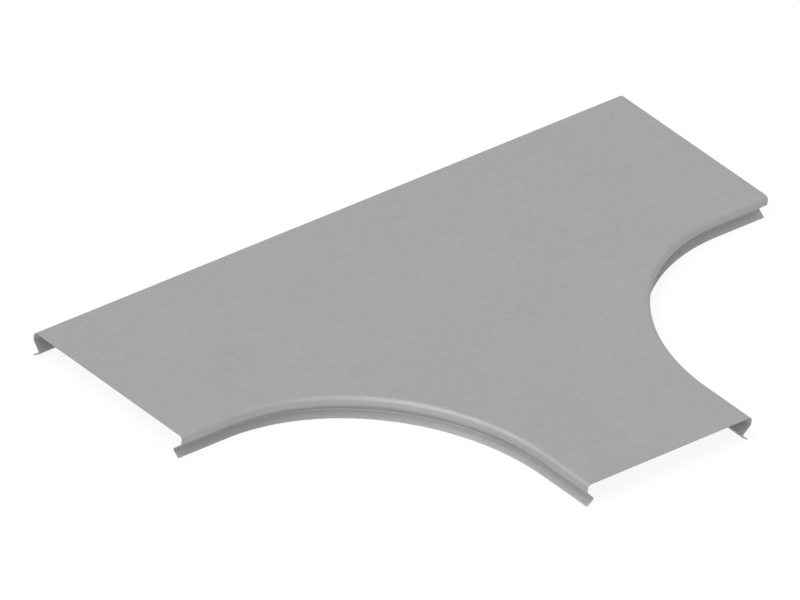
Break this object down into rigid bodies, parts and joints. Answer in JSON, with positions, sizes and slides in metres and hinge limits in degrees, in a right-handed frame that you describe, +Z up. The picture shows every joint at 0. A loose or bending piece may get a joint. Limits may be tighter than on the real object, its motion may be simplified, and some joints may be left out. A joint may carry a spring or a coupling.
{
  "type": "cable tray tee cover",
  "caption": "T-shaped folded sheet cover for a cable tray tee, with rounded inner corners and hooked rims that clip onto the tray's side rails.",
  "frame": {"origin": "on the supporting surface, under the middle of the cover's box, with the cover lying top up on its lips", "axes": "+X along the through run, towards its right end; +Y towards the long straight back rim, so the branch points to -Y; +Z up, out of the flat top"},
  "size_m": [0.538, 0.3445, 0.0183],
  "materials": {
    "galvanised_sheet": "pre-galvanised sheet steel, smooth and dull"
  },
  "bodies": {
    "root": {"tee_cover": "galvanised_sheet"}
  },
  "joints": []
}
